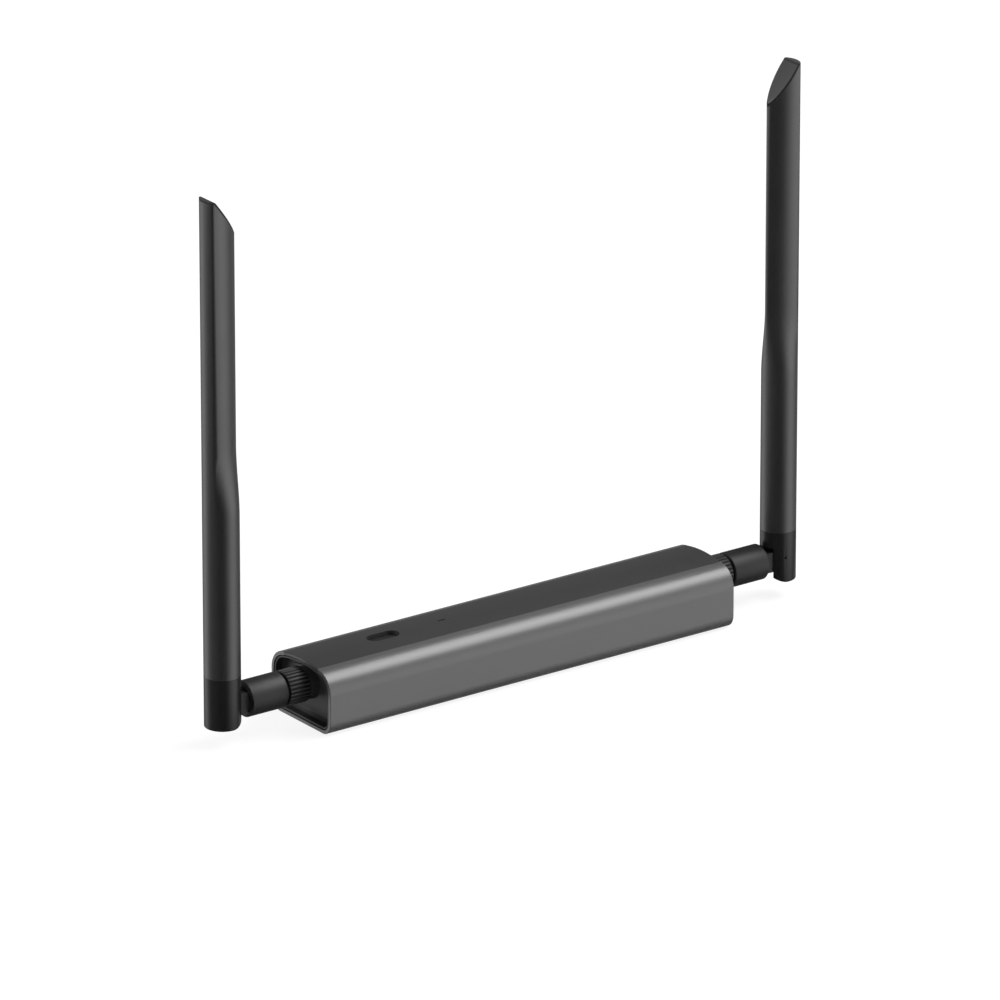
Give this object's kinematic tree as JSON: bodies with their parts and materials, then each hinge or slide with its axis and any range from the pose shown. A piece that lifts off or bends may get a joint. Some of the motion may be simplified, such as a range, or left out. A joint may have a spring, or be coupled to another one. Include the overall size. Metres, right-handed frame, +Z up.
{
  "type": "zigbee gateway",
  "caption": "Slim bar-shaped smart home radio gateway: extruded housing with an arched dark lid, a sunk pill button and a folding whip antenna screwed to each end.",
  "frame": {"origin": "on the surface that the housing rests on, under the middle of the housing", "axes": "X along the housing towards the network socket's end, +Y towards the back wall with the ports, +Z up"},
  "size_m": [0.2112, 0.0296, 0.1665],
  "materials": {
    "anodised_shell": "satin anodised",
    "lid_plastic": "satin",
    "cap_plastic": "satin",
    "antenna_plastic": "semi-gloss",
    "whip_rubber": "fine matte texture",
    "black_brass": "black plated",
    "gold_brass": "plated",
    "can_steel": "tinned",
    "black_plastic": "moulded",
    "board_green": "solder mask",
    "clear_plastic": "clear"
  },
  "bodies": {
    "housing": {"housing_shell": "anodised_shell", "top_lid": "lid_plastic", "end_cap_left": "cap_plastic", "end_cap_right": "cap_plastic", "light_pipe": "clear_plastic", "main_board": "board_green", "processor_shield": "can_steel", "radio_module_left": "can_steel", "radio_module_right": "can_steel", "antenna_jack_left": "gold_brass", "antenna_jack_right": "gold_brass", "tact_switch": "black_plastic", "status_light": "clear_plastic", "ethernet_jack": "black_plastic", "ethernet_contacts": "gold_brass", "usb_shell": "can_steel", "usb_tongue": "black_plastic"},
    "key": {"button": "lid_plastic", "switch_plunger": "black_plastic"},
    "nut_left": {"coupling_nut_left": "black_brass"},
    "arm_left": {"elbow_left": "antenna_plastic", "antenna_core_left": "black_brass", "hinge_pin_left": "can_steel"},
    "mast_left": {"whip_base_left": "antenna_plastic", "whip_left": "whip_rubber", "radiator_left": "gold_brass"},
    "nut_right": {"coupling_nut_right": "black_brass"},
    "arm_right": {"elbow_right": "antenna_plastic", "antenna_core_right": "black_brass", "hinge_pin_right": "can_steel"},
    "mast_right": {"whip_base_right": "antenna_plastic", "whip_right": "whip_rubber", "radiator_right": "gold_brass"}
  },
  "joints": [
    {"name": "button_press", "type": "slide", "parent": "housing", "child": "key", "axis": [0, 0, -1], "range_m": [0, 0.0006], "stiffness_N_per_m": 1500, "springref_m": -0.0006},
    {"name": "nut_left_turn", "type": "hinge", "parent": "housing", "child": "nut_left", "pos_m": [-0.0765, 0, 0.01204], "axis": [1, 0, 0], "continuous": true},
    {"name": "arm_left_swivel", "type": "hinge", "parent": "housing", "child": "arm_left", "pos_m": [-0.0765, 0, 0.01204], "axis": [1, 0, 0], "continuous": true},
    {"name": "whip_left_fold", "type": "hinge", "parent": "arm_left", "child": "mast_left", "pos_m": [-0.10015, 0, 0.01204], "axis": [0, -1, 0], "range_deg": [0, 90]},
    {"name": "nut_right_turn", "type": "hinge", "parent": "housing", "child": "nut_right", "pos_m": [0.0765, 0, 0.01204], "axis": [1, 0, 0], "continuous": true},
    {"name": "arm_right_swivel", "type": "hinge", "parent": "housing", "child": "arm_right", "pos_m": [0.0765, 0, 0.01204], "axis": [1, 0, 0], "continuous": true},
    {"name": "whip_right_fold", "type": "hinge", "parent": "arm_right", "child": "mast_right", "pos_m": [0.10015, 0, 0.01204], "axis": [0, 1, 0], "range_deg": [0, 90]}
  ]
}
